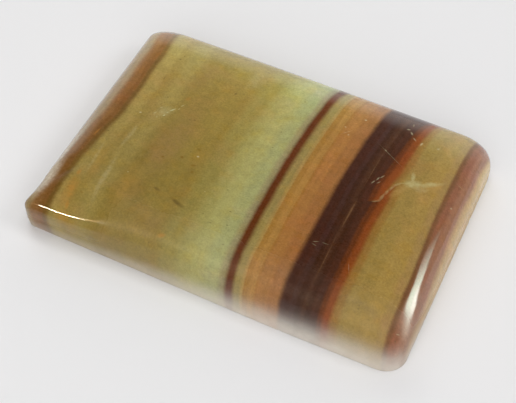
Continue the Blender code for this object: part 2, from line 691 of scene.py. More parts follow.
    def relief(self, points: np.ndarray) -> np.ndarray:
        """How deep each point lies under the ideal surface, in mm.

        Hand grinding leaves low waves: the sum of slope span (1 + sin(k . p + phase)) / 2 over
        a few seeded directions. Each nick adds how far the point lies inside its ball.

        Args:
            points: Rows of x, y, z in mm.

        Returns:
            Depths, none below 0.
        """
        draw = np.random.default_rng(self.grinding_seed)
        depth = np.zeros(len(points))
        for span in self.wave_spans:
            way = draw.normal(size=3)
            way *= 2 * np.pi / span / np.linalg.norm(way)
            phase = draw.uniform(0, 2 * np.pi)
            depth += self.wave_slope * span * (1 + np.sin(points @ way + phase)) / 2
        depth *= smooth(points[:, 2] / self.back_bevel)
        for nick in self.nicks():
            outward = np.array([nick.x, nick.y, nick.z])
            away = outward - (0.0, 0.0, self.nick_aim)
            centre = outward + away / np.linalg.norm(away) * (nick.radius - nick.bite)
            depth += np.maximum(nick.radius - np.linalg.norm(points - centre, axis=1), 0)
        return depth

    def nicks(self) -> list[Nick]:
        """Seeded nicks along the sharp lower edge, between 0.2 and 0.7 mm long.

        Returns:
            The nicks, in the order in which they are drawn.
        """
        draw = np.random.default_rng(self.nick_seed)
        turn = draw.uniform(0, 4, self.nick_count)
        x, y, _, _ = self.loop(turn, np.zeros_like(turn))
        found = []
        for px, py in zip(x, y):
            radius = draw.uniform(*self.nick_radii)
            bite = draw.uniform(*self.nick_bites)
            found.append(Nick(px, py, self.back_bevel * self.nick_level, radius, bite))
        return found

    def ground(self, points: np.ndarray) -> np.ndarray:
        """Share of the matt ground finish, whose pale dust is partly a painted white veil of reflected
        light on the near side: 1 on the back and 0 on the polished top.

        The wheel's frosting climbs the wall to wall_reach. On the near side it grows along the
        stone, and climbs to near_reach, over the shoulder's foot, with a faint haze above it.
        It passes round the near right corner.

        Args:
            points: Rows of x, y, z in mm.

        Returns:
            Shares from 0 to 1.
        """
        x, y, z = points.T
        inward = y + self.width / 2
        near = (1 - ease(inward, *self.near_depth)) * ease(x, *self.near_growth)
        end = self.corner_frost_and_veil * (1 - ease(self.length / 2 - x, *self.corner_depth))
        near = np.maximum(near, end * (1 - ease(inward, *self.corner_length)))
        reach = self.wall_reach + (self.near_reach - self.wall_reach) * near
        strength = self.wall_frost + (self.near_frost_and_veil - self.wall_frost) * near
        climb = (1 - smooth(z / reach)) * strength
        climb += self.haze * (1 - ease(inward, *self.haze_depth)) * ease(x, *self.haze_growth)
        back = 1 - ease(z, self.back_start, self.back_bevel * self.back_run)
        return np.clip(np.maximum(climb, back), 0, 1)

    def painted_light_gradient(self, points: np.ndarray) -> np.ndarray:
        """Painted light and shade: how much lighter the stone is drawn than its layer, near to far
        side.

        It is a slope, steepest at the left, times y, which counts within painted_light_gradient_range
        only.

        Args:
            points: Rows of x, y, z in mm.

        Returns:
            Parts of the layer's own brightness, below 0 where painted shade darkens the stone.
        """
        slope = np.interp(points[:, 0], self.painted_light_gradient_x, self.painted_light_gradient_slopes)
        return slope * np.clip(points[:, 1], *self.painted_light_gradient_range)

    def build(self, finish: bpy.types.Material) -> bpy.types.Object:
        """Make the stone's object, with what its material needs to know at each point.

        Args:
            finish: The stone's material.

        Returns:
            The object, at the origin, riding on the frame in place of the plain solid.
        """
        points, faces = self.skin()
        points = points - self.normals(points, faces) * self.relief(points)[:, None]
        mesh = bpy.data.meshes.new("banded_stone")
        mesh.from_pydata((points * MM).tolist(), [], faces.tolist())
        mesh.validate()
        mesh.shade_smooth()
        crack_gap, crack_strength = self.strata.healed(points)
        fields = {
            "layer_mm": self.strata.coordinate(points, self.height),
            "crack_mm": crack_gap,
            "crack_strength": crack_strength,
            "painted_light_gradient": self.painted_light_gradient(points),
            "ground": self.ground(points),
        }
        for name, values in fields.items():
            layer = mesh.attributes.new(name, "FLOAT", "POINT")
            layer.data.foreach_set("value", values.astype(np.float32))
        mesh.materials.append(finish)
        stone = put("banded_stone", mesh)
        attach(stone, "root")
        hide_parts("cabochon")
        LOG.info("banded_stone: %d points, %d faces", len(points), len(faces))
        return stone


@dataclass(frozen=True)
class Band:
    """One layer of the jasper, from the last one's end to its own, with its look.

    The grain is how strongly the layer is laminated, from 0 to 1, and the edge is the width
    over which it passes into the next layer.
    """

    name: str
    end: float
    colour: str
    grain: float
    edge: float


BANDS = (
    Band("tan skin", -14.72, "#9B8359", 0.1, 0.50),
    Band("russet tan", -13.98, "#8B6235", 0.2, 0.35),
    Band("russet brown", -13.55, "#81582B", 0.2, 0.25),
    Band("bark line", -13.12, "#755727", 0.2, 0.50),
    Band("light olive", -12.00, "#9F8949", 0.15, 0.50),
    Band("olive", -11.20, "#998242", 0.15, 0.80),
    Band("pale olive", -9.80, "#9B8748", 0.1, 1.20),
    Band("tan olive", -7.20, "#907A3B", 0.1, 1.50),
    Band("yellow olive", -4.30, "#937D3B", 0.1, 1.00),
    Band("green olive", -2.80, "#978745", 0.1, 1.20),
    Band("greenish cream", -1.90, "#A29857", 0.1, 0.90),
    Band("pale yellow green", -0.60, "#A9A262", 0.1, 1.00),
    Band("pale green", 0.65, "#A3A26A", 0.1, 0.60),
    Band("grey green", 1.10, "#958A60", 0.1, 0.50),
    Band("oxblood line", 1.83, "#613112", 0.2, 0.50),
    Band("khaki", 2.48, "#948149", 0.3, 0.30),
    Band("pink line", 2.72, "#A4864A", 0.3, 0.15),
    Band("brown line", 3.16, "#9D7335", 0.3, 0.20),
    Band("ochre", 3.72, "#A87C3E", 0.3, 0.15),
    Band("tan line", 3.93, "#9D6E34", 0.3, 0.15),
    Band("salmon", 4.85, "#A4723B", 0.30, 0.50),
    Band("dusky salmon", 5.98, "#9A6939", 0.30, 0.55),
    Band("plum shadow", 6.85, "#452618", 0.4, 0.20),
    Band("plum", 7.25, "#462B21", 0.4, 0.20),
    Band("dark line", 7.55, "#3F2415", 0.4, 0.15),
    Band("brown plum", 7.78, "#442818", 0.4, 0.15),
    Band("olive streak", 8.08, "#4C2F1D", 0.4, 0.20),
    Band("dark plum", 8.45, "#422514", 0.4, 0.20),
    Band("deep plum", 9.05, "#492919", 0.4, 0.30),
    Band("dark rust", 9.48, "#623315", 0.4, 0.40),
    Band("rust", 10.15, "#82431A", 0.3, 0.50),
    Band("rusty olive", 10.75, "#906C33", 0.2, 0.50),
    Band("khaki olive", 12.30, "#997F42", 0.15, 0.80),
    Band("warm olive", 13.60, "#A28546", 0.15, 0.50),
    Band("tan edge", 14.22, "#9F814A", 0.15, 0.30),
    Band("dark hairline", 14.58, "#77502F", 0.2, 0.30),
    Band("brown mauve", 15.12, "#8E5B3F", 0.2, 0.40),
    Band("mauve", 15.85, "#9C6E52", 0.2, 0.40),
    Band("yellow tan", 17.50, "#C9A66B", 0.2, 0.20),
)

STAINS = (
    Stain("tan clouds", "#9C7750", 0.0, (
        Mark("left_cloud", -8.0, -2.5, 5.5, 2.0, 88, 0.26),
        Mark("far_cloud", -9.0, 6.0, 3.0, 1.2, 80, 0.22),
    )),
    Stain("ochre clouds", "#AC853F", 0.0, (
        Mark("near_cloud", -9.3, -8.3, 3.8, 1.3, 92, 0.34),
        Mark("near_edge_cloud", -12.4, -7.0, 3.5, 0.6, 94, 0.30),
        Mark("green_side_cloud", -5.3, -3.0, 2.0, 0.9, 80, 0.22),
    )),
    # Painted reflection: a pale line of reflected light along the left rim by the near left corner
    Stain("painted rim reflection by the ridge", "#D8CCB4", 0.0, (
        Mark("near_rim_reflection", -15.80, -7.4, 6.5, 0.72, 84, 0.72),
        Mark("near_rim_reflection_foot", -15.62, -9.7, 3.2, 0.80, 83, 0.85),
    )),
    Stain("orange streaks", "#B47A30", 0.1, (
        Mark("corner_streak", -13.2, -10.3, 2.2, 0.75, 92, 0.46),
        Mark("corner_spot", -13.3, -8.6, 0.50, 0.28, 80, 0.48),
        Mark("corner_foot", -12.9, -11.4, 0.70, 0.30, 100, 0.55),
        Mark("wall_streak", -12.9, -12.3, 1.1, 0.70, 0, 0.80),
        Mark("skin_spot", -14.05, -4.0, 0.70, 0.12, 80, 0.40),
        Mark("near_spot", -4.6, -11.3, 0.50, 0.25, 20, 0.45),
        Mark("far_spot", -9.0, 2.9, 0.45, 0.30, 60, 0.36),
    )),
    Stain("ochre grains", "#7E5A1C", 0.1, (
        Mark("ochre_one", -5.6, -2.1, 0.26, 0.20, 0, 0.55),
        Mark("ochre_two", -5.34, -3.88, 0.30, 0.17, 20, 0.70),
        Mark("ochre_three", -5.11, -4.57, 0.24, 0.16, 40, 0.62),
        Mark("ochre_four", -6.54, -3.45, 0.22, 0.20, 0, 0.66),
        Mark("ochre_five", -7.95, -4.12, 0.20, 0.16, 0, 0.70),
        Mark("ochre_six", -10.9, -4.1, 0.30, 0.08, 160, 0.28),
        Mark("ochre_seven", -12.2, -10.2, 0.25, 0.12, 0, 0.45),
        Mark("ochre_eight", -13.5, -10.15, 0.20, 0.12, 20, 0.50),
        Mark("ochre_nine", -13.75, -8.9, 0.20, 0.10, 60, 0.45),
        Mark("ochre_ten", -9.6, -10.2, 0.35, 0.10, 10, 0.32),
    )),
    Stain("warm olive by the crack", "#AE8C4E", 0.1, (
        Mark("under_crack_end", 13.2, 3.2, 1.3, 0.75, 45, 0.65),
        Mark("beside_crack", 10.8, 1.5, 1.7, 0.55, 62, 0.60),
    )),
    Stain("rust spreading above the crack", "#8E4A1F", 0.0, (
        Mark("rust_above_crack", 9.95, 3.05, 1.9, 0.62, 74, 0.62),
    )),
    Stain("pale growth along the crack", "#BDB27C", 0.2, (
        Mark("crack_foot", 9.35, -0.60, 0.42, 0.07, 30, 0.20),
        Mark("patch_on_crack", 11.55, 2.70, 1.00, 0.62, 30, 0.62),
        Mark("crack_spike", 11.3, 3.35, 0.80, 0.26, 104, 0.60),
        Mark("patch_tail", 12.75, 3.25, 1.35, 0.36, 38, 0.50),
        Mark("beyond_crack", 15.1, 5.0, 0.5, 0.06, 5, 0.25),
    )),
    Stain("feathered scuff", "#C6C896", 0.1, (
        Mark("scuff_haze", -10.1, 0.6, 1.30, 0.70, 50, 0.16),
        Mark("scuff_head", -9.6, 1.08, 0.50, 0.10, 56, 0.72),
        Mark("scuff_tip", -9.05, 1.95, 0.28, 0.06, 62, 0.42),
        Mark("scuff_barb", -9.15, 1.45, 0.20, 0.05, 75, 0.36),
        Mark("scuff_middle", -9.85, 0.65, 0.26, 0.07, 48, 0.55),
        Mark("scuff_low", -9.95, 0.20, 0.24, 0.08, 66, 0.54),
        Mark("scuff_left_one", -10.55, 0.95, 0.22, 0.07, 40, 0.46),
        Mark("scuff_left_two", -10.3, 0.45, 0.18, 0.07, 70, 0.42),
        Mark("scuff_left_three", -10.75, 0.15, 0.24, 0.07, 55, 0.42),
        Mark("scuff_foot", -10.4, -0.25, 0.16, 0.06, 110, 0.30),
    )),
    Stain("pale streaks", "#D6CFA4", 0.1, (
        Mark("long_streak_far", -11.45, -3.0, 2.4, 0.30, 86, 0.10),
        Mark("long_streak_near", -11.2, -8.3, 3.6, 0.35, 93, 0.12),
        Mark("inner_streak", -12.85, -6.5, 2.6, 0.22, 93, 0.09),
        Mark("far_bloom", -4.7, 7.9, 2.0, 1.1, 80, 0.14),
        Mark("crack_side_glow", 12.3, 2.4, 0.9, 0.5, 20, 0.12),
    )),
    Stain("pale scuffs and painted glints", "#D6CFA4", 0.2, (
        Mark("left_speck", -11.85, -0.4, 0.16, 0.12, 30, 0.50),
        Mark("middle_speck", -5.4, -2.8, 0.15, 0.12, 0, 0.45),
        Mark("far_speck", 5.45, 7.75, 0.15, 0.12, 0, 0.50),
        Mark("rust_speck", 10.65, 7.35, 0.28, 0.13, 75, 0.45),
        Mark("olive_speck", 12.1, 7.55, 0.20, 0.15, 40, 0.42),
        Mark("cluster_one", 9.1, 8.5, 0.22, 0.12, 20, 0.30),
        Mark("cluster_two", 9.5, 8.15, 0.30, 0.12, 130, 0.32),
        Mark("cluster_three", 9.95, 7.6, 0.30, 0.10, 140, 0.28),
        Mark("cluster_four", 9.3, 9.3, 0.35, 0.10, 100, 0.18),
        # Painted highlights: two small glints on the right shoulder, drawn as pale marks
        Mark("painted_mauve_glint", 15.1, 2.4, 0.20, 0.11, 60, 0.40),
        Mark("painted_corner_glint", 15.4, -11.15, 0.28, 0.07, 35, 0.45),
        Mark("plum_scuff", 8.50, 1.35, 0.34, 0.08, 68, 0.30),
        Mark("plum_scuff_middle", 8.72, 1.85, 0.32, 0.08, 72, 0.30),
        Mark("plum_scuff_far", 8.98, 2.25, 0.34, 0.08, 62, 0.28),
        Mark("plum_scuff_side", 8.92, 1.50, 0.28, 0.07, 58, 0.24),
        Mark("near_scuff", 6.65, -6.70, 0.36, 0.06, 27, 0.20),
        Mark("near_scuff_low", 6.65, -7.05, 0.32, 0.08, 165, 0.12),
        Mark("near_scuff_tail", 7.4, -6.55, 0.45, 0.07, 0, 0.12),
        Mark("salmon_scratch", 4.5, 5.6, 0.75, 0.05, 50, 0.22),
        Mark("salmon_fleck_one", 4.2, 6.15, 0.12, 0.10, 0, 0.32),
        Mark("salmon_fleck_two", 4.75, 5.4, 0.12, 0.10, 0, 0.32),
        Mark("far_scratch", 8.75, 4.85, 2.00, 0.05, 149, 0.13),
        Mark("far_scratch_knot", 8.2, 5.2, 0.20, 0.07, 149, 0.30),
        Mark("rust_scratch", 9.95, -8.0, 0.75, 0.05, 112, 0.14),
    )),
    Stain("dark grains", "#54421F", 0.2, (
        Mark("grain_one", -7.4, 0.85, 0.20, 0.16, 20, 0.42),
        Mark("grain_two", -5.65, 5.4, 0.22, 0.12, 70, 0.42),
        Mark("grain_three", -5.75, -2.0, 0.15, 0.12, 0, 0.30),
        Mark("grain_four", -6.85, -7.5, 0.45, 0.20, 165, 0.52),
        Mark("grain_streak", -4.7, -8.1, 1.05, 0.26, 160, 0.62),
        Mark("grain_far", -11.7, 7.1, 0.17, 0.14, 0, 0.35),
        Mark("grain_fleck", -11.9, 4.3, 0.10, 0.40, 0, 0.30),
        Mark("green_one", -0.25, -8.4, 0.14, 0.12, 0, 0.45),
        Mark("green_two", -1.55, -8.75, 0.14, 0.12, 0, 0.40),
        Mark("green_three", -0.4, 3.0, 0.14, 0.11, 60, 0.45),
        Mark("green_four", -0.35, 1.0, 0.14, 0.11, 0, 0.40),
        Mark("green_five", -0.6, -7.0, 0.14, 0.11, 0, 0.40),
    )),
    Stain("brown hairline in the plum", "#916A45", 0.1, (
        Mark("plum_line_near", 7.98, -2.75, 2.2, 0.11, 89, 0.34),
        Mark("plum_line_far", 8.05, 2.4, 3.4, 0.07, 88, 0.18),
        Mark("plum_line_foot", 7.95, -8.0, 3.6, 0.07, 91, 0.16),
    )),
)


@dataclass(frozen=True)
class Lumps:
    """Smooth unevenness in the stone: how wide its lumps are, in mm, and how much they do.

    The detail is how many finer scales are added, and rough is how strong each of them is.
    """

    wide: float
    strength: float
    detail: float = 2.0
    rough: float = 0.5


@dataclass(frozen=True)
class Specks:
    """Round specks in some cells of the stone: their cell and reach in mm, share and colour."""

    cell: float
    reach: float
    share: float
    colour: str


@dataclass
class BandedJasper:
    """Jasper, an opaque, fine-grained quartz, laid down in bands and stained by iron.

    Its top is polished, which gives a clear, sharp sheen at quartz's index. Its wall and back
    were left as the grinding wheel cut them, which makes them paler and matt, and their pale
    dust also paints a white veil of reflected light along the near side.
    """

    bands: tuple[Band, ...] = BANDS
    stains: tuple[Stain, ...] = STAINS

    # Where one colour ramp ends and the next one starts, since a ramp has room for 32 stops
    splits: tuple[float, ...] = (-17.5, 0.0, 7.4, 17.5)

    # Quartz's index, and the roughness of the polished top and of the ground wall and back
    quartz_ior: float = 1.54
    polish: float = 0.07
    matt: float = 0.50

    # The frosting's uneven edge, the frosting that is fully matt, and the pale dust in it, which
    # also serves as a painted white veil of reflected light along the near side: its colour, the
    # frosting where it starts to show, and its cover for each part past that
    frost_lumps: Lumps = Lumps(1.2, 0.5, 3.0)
    frost_full: float = 0.08
    dust_and_veil: str = "#E0D8CC"
    dust_and_veil_start: float = 0.045
    dust_and_veil_cover: float = 0.85

    # Grit marks: their depth, and the parts of it on ground stone and on the polish
    grit: Lumps = Lumps(0.08, 0.02, 2.0, 0.6)
    grit_ground: float = 0.9
    grit_polish: float = 0.02

    # Painted light: the far side drawn paler and bluer, as more light falls on its shoulder; the
    # tint is full from the first y on and gone below the second
    painted_far_light_tint: tuple[float, float, float] = (1.14, 1.28, 1.50)
    painted_far_light_full: float = 9.5
    painted_far_light_none: float = 4.5

    # Slow and fine bends of the layers, whose strength is mm for each unit of unevenness
    bends: tuple[Lumps, ...] = (Lumps(2.5, 0.16), Lumps(0.45, 0.06))

    # Clouds with their tints, the lumps and grains that lighten and darken, and pale grains
    clouds: tuple[tuple[Lumps, tuple[float, float, float]], ...] = (
        (Lumps(2.0, 3.0, 3.0), (1.06, 0.93, 1.04)),
        (Lumps(1.1, 4.0, 3.0), (1.04, 0.98, 0.80)),
    )
    mottles: tuple[Lumps, ...] = (
        Lumps(1.0, 0.34, 2.0, 0.6), Lumps(0.4, 0.34, 2.0, 0.6), Lumps(0.15, 0.55, 2.0, 0.6),
    )
    pale_grains: Lumps = Lumps(0.3, 0.020, 3.0, 0.7)

    # Streaks along the layers, and how much they are squeezed across y and z before drawing
    streaks: tuple[Lumps, ...] = (Lumps(0.25, 0.9), Lumps(0.9, 0.6))
    streak_squeeze: float = 0.04

    # The healed crack's pale line
    crack_colour: str = "#C4B880"
    crack_width: float = 0.16
    crack_cover: float = 0.28
    crack_lumps: Lumps = Lumps(0.5, 0.25, 3.0)

    # Marks stand at this height and reach this far above and below it, and lumps break them up
    mark_height: float = 4.8
    mark_depth: float = 3.0
    mark_lumps: Lumps = Lumps(0.3, 2.0)

    # Sparse dark grains and pale specks, and how strongly they cover
    specks: tuple[Specks, ...] = (Specks(0.9, 0.13, 0.3, "#5E4E26"), Specks(1.7, 0.10, 0.3, "#CFC694"))
    speck_cover: float = 0.45

    graph: Graph = field(init=False)
    material: bpy.types.Material = field(init=False)

    def __post_init__(self) -> None:
        """Start an empty material with one shader."""
        self.material = bpy.data.materials.new("banded_polished_jasper")
        self.material.use_nodes = True
        self.graph = Graph(self.material.node_tree)

    def dress(self) -> bpy.types.Material:
        """Link the whole finish together.

        Returns:
            The material.
        """
        add = self.graph.add
        objects = add("TexCoord", out="Object")
        place = add("Mapping", {"Vector": objects, "Scale": (1 / MM, 1 / MM, 1 / MM)})
        layer = self.bend(add("Attribute", out="Fac", attribute_name="layer_mm"), place)
        colour, grain = self.layers(layer)
        # Painted light and shade: lighter towards the far side, darker towards the near side
        painted_light_gradient = add("Attribute", out="Fac", attribute_name="painted_light_gradient")
        colour = self.shade(colour, painted_light_gradient, 1.0)
        # Painted light: the far side paler and bluer
        across = add("SeparateXYZ", (place,), "Y")
        far = (across, self.painted_far_light_full, self.painted_far_light_none, 1.0, 0.0)
        far = add("MapRange", far, interpolation_type="SMOOTHSTEP")
        colour = self.tint(colour, self.painted_far_light_tint, far)
        colour = self.mottle(colour, place)
        colour = self.laminate(colour, grain, layer, place)
        colour = self.heal(colour, place)
        for stain in self.stains:
            colour = self.stain(colour, place, stain)
        colour = self.speckle(colour, place)
        frost = self.frost(place)
        # Pale dust and a painted white veil of reflected light over the frosting
        colour = self.powder_and_veil(colour, frost)
        full = (frost, self.frost_full, 0.0, self.matt - self.polish, 0.0)
        rough = add("MapRange", full, interpolation_type="SMOOTHSTEP")
        rough = add("Math", (rough, self.polish), operation="ADD")
        shader = self.material.node_tree.nodes["Principled BSDF"]
        links = self.material.node_tree.links
        links.new(colour, shader.inputs["Base Color"])
        links.new(rough, shader.inputs["Roughness"])
        links.new(self.texture(frost, place), shader.inputs["Normal"])
        shader.inputs["IOR"].default_value = self.quartz_ior
        LOG.info("bands: %s", ", ".join(band.name for band in self.bands))
        return self.material

    def shade(self, colour: Socket, change: Socket, strength: Socket | float) -> Socket:
        """Brighten or darken a colour: colour (1 + change strength).

        Args:
            colour: The colour.
            change: How much lighter it grows, below 0 where it darkens.
            strength: What the change is multiplied by.

        Returns:
            The new colour.
        """
        scale = self.graph.add("Math", (change, strength, 1.0), operation="MULTIPLY_ADD")
        return self.graph.add("VectorMath", {0: colour, "Scale": scale}, operation="SCALE")

    def tint(
        self, colour: Socket, tint: tuple[float, float, float], share: Socket
    ) -> Socket:
        """Pass from a colour to the same colour times a tint.

        Args:
            colour: The colour.
            tint: What its red, green and blue are multiplied by.
            share: How far it passes, where 1 is the whole way.

        Returns:
            The tinted colour.
        """
        tinted = self.graph.add("VectorMath", (colour, tint), operation="MULTIPLY")
        return self.graph.add("Mix", {0: share, 6: colour, 7: tinted}, 2, data_type="RGBA")

    def unevenness(self, place: Socket, lumps: Lumps) -> Socket:
        """Smooth noise less a half, so that it lies between about -0.3 and 0.3.

        Args:
            place: Where it is read, in mm.
            lumps: The lumps, whose strength is left to the caller.

        Returns:
            The unevenness at each place.
        """
        sockets = {
            "Vector": place, "Scale": 1 / lumps.wide,
            "Detail": lumps.detail, "Roughness": lumps.rough,
        }
        value = self.graph.add("TexNoise", sockets)
        return self.graph.add("Math", (value, 0.5), operation="SUBTRACT")

    def ramp(self, layer: Socket, low: float, high: float) -> tuple[Socket, Socket]:
        """Colour and lamination of the bands between two layer coordinates.

        Each band gives two stops, half an edge inside its two ends, so that the ramp is flat
        over the band and passes to the next one across the edge. Where the edges leave no
        room for a flat stretch, both stops stand in the middle of what is left.

        Args:
            layer: The layer coordinate.
            low: Where the ramp starts.
            high: Where it ends.

        Returns:
            The colour output and the lamination output.
        """
        share = self.graph.add("MapRange", (layer, low, high))
        colour = self.graph.add("ValToRGB", (share,))
        colour.node.color_ramp.interpolation = "EASE"
        stops = []
        start, before = self.splits[0], 0.0
        for band in self.bands:
            look = (*linear(band.colour)[:3], band.grain)
            first, last = start + before / 2, band.end - band.edge / 2
            if first > last:
                first = last = (first + last) / 2
            if band.end > low and start < high:
                stops.append(((max(first, low) - low) / (high - low), look))
                stops.append(((min(last, high) - low) / (high - low), look))
            start, before = band.end, band.edge
        fill_ramp(colour.node.color_ramp, stops)
        return colour, colour.node.outputs["Alpha"]

    def layers(self, layer: Socket) -> tuple[Socket, Socket]:
        """The bands' colour and lamination over the whole stone, one ramp after another.

        Args:
            layer: The layer coordinate.

        Returns:
            The colour output and the lamination output.
        """
        add = self.graph.add
        colour, grain = self.ramp(layer, *self.splits[:2])
        for low, high in zip(self.splits[1:], self.splits[2:]):
            beyond = add("Math", (layer, low), operation="GREATER_THAN")
            next_colour, next_grain = self.ramp(layer, low, high)
            sockets = {0: beyond, 6: colour, 7: next_colour}
            colour = add("Mix", sockets, 2, data_type="RGBA")
            grain = add("Mix", {0: beyond, 2: grain, 3: next_grain})
        return colour, grain

    def bend(self, layer: Socket, place: Socket) -> Socket:
        """Bend the layers slowly by up to about 0.05 mm, and finely by up to about 0.02 mm.

        Args:
            layer: The layer coordinate.
            place: Where it is, in mm.

        Returns:
            The bent layer coordinate.
        """
        for lumps in self.bends:
            bent = (self.unevenness(place, lumps), lumps.strength, layer)
            layer = self.graph.add("Math", bent, operation="MULTIPLY_ADD")
        return layer

    def mottle(self, colour: Socket, place: Socket) -> Socket:
        """Unevenness of a fine-grained stone, from clouds down to single grains.

        Clouds 2 mm wide lean to a pinkish tan, and others of 1.1 mm to ochre. Lumps of 1 mm
        and 0.4 mm and grains of 0.15 mm lighten and darken the stone by up to about a sixth,
        and pale grains of 0.3 mm add a little grey.

        Args:
            colour: The layers' colour.
            place: Where it is, in mm.

        Returns:
            The uneven colour.
        """
        add = self.graph.add
        for lumps, tint in self.clouds:
            share = (self.unevenness(place, lumps), lumps.strength)
            colour = self.tint(colour, tint, add("Math", share, operation="MULTIPLY"))
        for lumps in self.mottles:
            colour = self.shade(colour, self.unevenness(place, lumps), lumps.strength)
        grains = (self.unevenness(place, self.pale_grains), self.pale_grains.strength)
        grains = add("Math", grains, operation="MULTIPLY")
        return add("VectorMath", (colour, grains), operation="ADD")

    def laminate(self, colour: Socket, grain: Socket, layer: Socket, place: Socket) -> Socket:
        """Straight lines along the layers, 0.25 mm and 0.9 mm apart.

        The lumps are read at (layer, squeeze y, squeeze z), which draws them out into streaks.

        Args:
            colour: The mottled colour.
            grain: How strongly the layer is laminated.
            layer: The layer coordinate.
            place: Where it is, in mm.

        Returns:
            The laminated colour.
        """
        add = self.graph.add
        parts = add("SeparateXYZ", (place,)).node.outputs
        sockets = [layer]
        for part in (parts["Y"], parts["Z"]):
            sockets.append(add("Math", (part, self.streak_squeeze), operation="MULTIPLY"))
        along = add("CombineXYZ", sockets)
        for lumps in self.streaks:
            lines = self.unevenness(along, lumps)
            strength = add("Math", (grain, lumps.strength), operation="MULTIPLY")
            colour = self.shade(colour, lines, strength)
        return colour

    def heal(self, colour: Socket, place: Socket) -> Socket:
        """The healed crack: a thin pale line, broken up by lumps of half a millimetre.

        Args:
            colour: The layers' colour.
            place: Where it is, in mm.

        Returns:
            The colour with the line.
        """
        add = self.graph.add
        uneven = self.unevenness(place, self.crack_lumps)
        gap = add("Attribute", out="Fac", attribute_name="crack_mm")
        gap = add("Math", (uneven, self.crack_lumps.strength, gap), operation="MULTIPLY_ADD")
        line = (gap, 0.0, self.crack_width, self.crack_cover, 0.0)
        line = add("MapRange", line, interpolation_type="SMOOTHSTEP")
        strength = add("Attribute", out="Fac", attribute_name="crack_strength")
        line = add("Math", (line, strength), operation="MULTIPLY")
        sockets = {0: line, 6: colour, 7: linear(self.crack_colour)}
        return add("Mix", sockets, 2, data_type="RGBA")

    def stain(self, colour: Socket, place: Socket, stain: Stain) -> Socket:
        """Lay the marks of one stain on the stone.

        A mark's strength falls from its hard middle to its rim, by 1 less the distance from
        its middle in its own turned axes, over its half sizes. Where marks overlap, the
        stronger one counts, and lumps of 0.3 mm break them up.

        Args:
            colour: The colour under the stain.
            place: Where it is, in mm.
            stain: The stain.

        Returns:
            The stained colour.
        """
        add = self.graph.add
        cover = 0.0
        for mark in stain.marks:
            sockets = {
                "Vector": place,
                "Location": (mark.x, mark.y, self.mark_height),
                "Rotation": (0.0, 0.0, math.radians(mark.turn)),
                "Scale": (mark.long, mark.wide, self.mark_depth),
            }
            own = add("Mapping", sockets, vector_type="TEXTURE", label=mark.name)
            inner = add("TexGradient", (own,), "Fac", gradient_type="SPHERICAL")
            here = (inner, 1 - stain.hard, 0.0, mark.strength, 0.0)
            here = add("MapRange", here, interpolation_type="SMOOTHSTEP")
            cover = add("Math", (here, cover), operation="MAXIMUM")
        broken = (self.unevenness(place, self.mark_lumps), self.mark_lumps.strength, 1.0)
        broken = add("Math", broken, operation="MULTIPLY_ADD")
        cover = add("Math", (cover, broken), operation="MULTIPLY")
        LOG.info("%s: %d marks", stain.name, len(stain.marks))
        sockets = {0: cover, 6: colour, 7: linear(stain.colour)}
        return add("Mix", sockets, 2, data_type="RGBA")

    def speckle(self, colour: Socket, place: Socket) -> Socket:
        """Sparse dark grains and pale specks, about 0.2 mm across, in cells of 0.9 and 1.7 mm.

        Args:
            colour: The stained colour.
            place: Where it is, in mm.

        Returns:
            The speckled colour.
        """
        add = self.graph.add
        for specks in self.specks:
            away = add("TexVoronoi", {"Vector": place, "Scale": 1 / specks.cell}, "Distance")
            chance = add("SeparateColor", (away.node.outputs["Color"],))
            present = add("Math", (chance, specks.share), operation="LESS_THAN")
            dot = (away, 0.0, specks.reach / specks.cell, self.speck_cover, 0.0)
            dot = add("MapRange", dot, interpolation_type="SMOOTHSTEP")
            dot = add("Math", (dot, present), operation="MULTIPLY")
            sockets = {0: dot, 6: colour, 7: linear(specks.colour)}
            colour = add("Mix", sockets, 2, data_type="RGBA")
        return colour

    def frost(self, place: Socket) -> Socket:
        """The ground finish, with its edge broken up by lumps of 1.2 mm.

        Args:
            place: Where it is, in mm.

        Returns:
            The share of the ground finish, up to 1.
        """
        add = self.graph.add
        ground = add("Attribute", out="Fac", attribute_name="ground")
        uneven = (self.unevenness(place, self.frost_lumps), self.frost_lumps.strength)
        uneven = add("Math", uneven, operation="MULTIPLY")
        uneven = add("Math", (uneven, ground, ground), operation="MULTIPLY_ADD")
        return add("Math", (uneven, 1.0), operation="MINIMUM")

    def powder_and_veil(self, colour: Socket, frost: Socket) -> Socket:
        """The pale dust in the frosting, partly a painted white veil of reflected light on the near
        side: a cover of dust_and_veil_cover (frost - dust_and_veil_start).

        Args:
            colour: The speckled colour.
            frost: The share of the ground finish.

        Returns:
            The colour with its dust and painted veil.
        """
        add = self.graph.add
        cover = add("Math", (frost, self.dust_and_veil_start), operation="SUBTRACT")
        cover = add("Math", (cover, self.dust_and_veil_cover), operation="MULTIPLY")
        cover = add("Math", (cover, 0.0), operation="MAXIMUM")
        sockets = {0: cover, 6: colour, 7: linear(self.dust_and_veil)}
        return add("Mix", sockets, 2, data_type="RGBA")

    def texture(self, frost: Socket, place: Socket) -> Socket:
        """Grit marks of 0.08 mm where the stone is ground, and faint ones on the polish.

        Args:
            frost: The share of the ground finish.
            place: Where it is, in mm.

        Returns:
            The bumped normal.
        """
        add = self.graph.add
        depth = add("Math", (frost, self.grit_ground, self.grit_polish), operation="MULTIPLY_ADD")
        height = (self.unevenness(place, self.grit), depth)
        height = add("Math", height, operation="MULTIPLY")
        sockets = {"Strength": 1.0, "Distance": self.grit.strength * MM, "Height": height}
        return add("Bump", sockets)


class Sees(Enum):
    """Which rays a lamp reaches."""

    MATT = "matt surfaces only"
    GLOSS = "mirror reflections only"


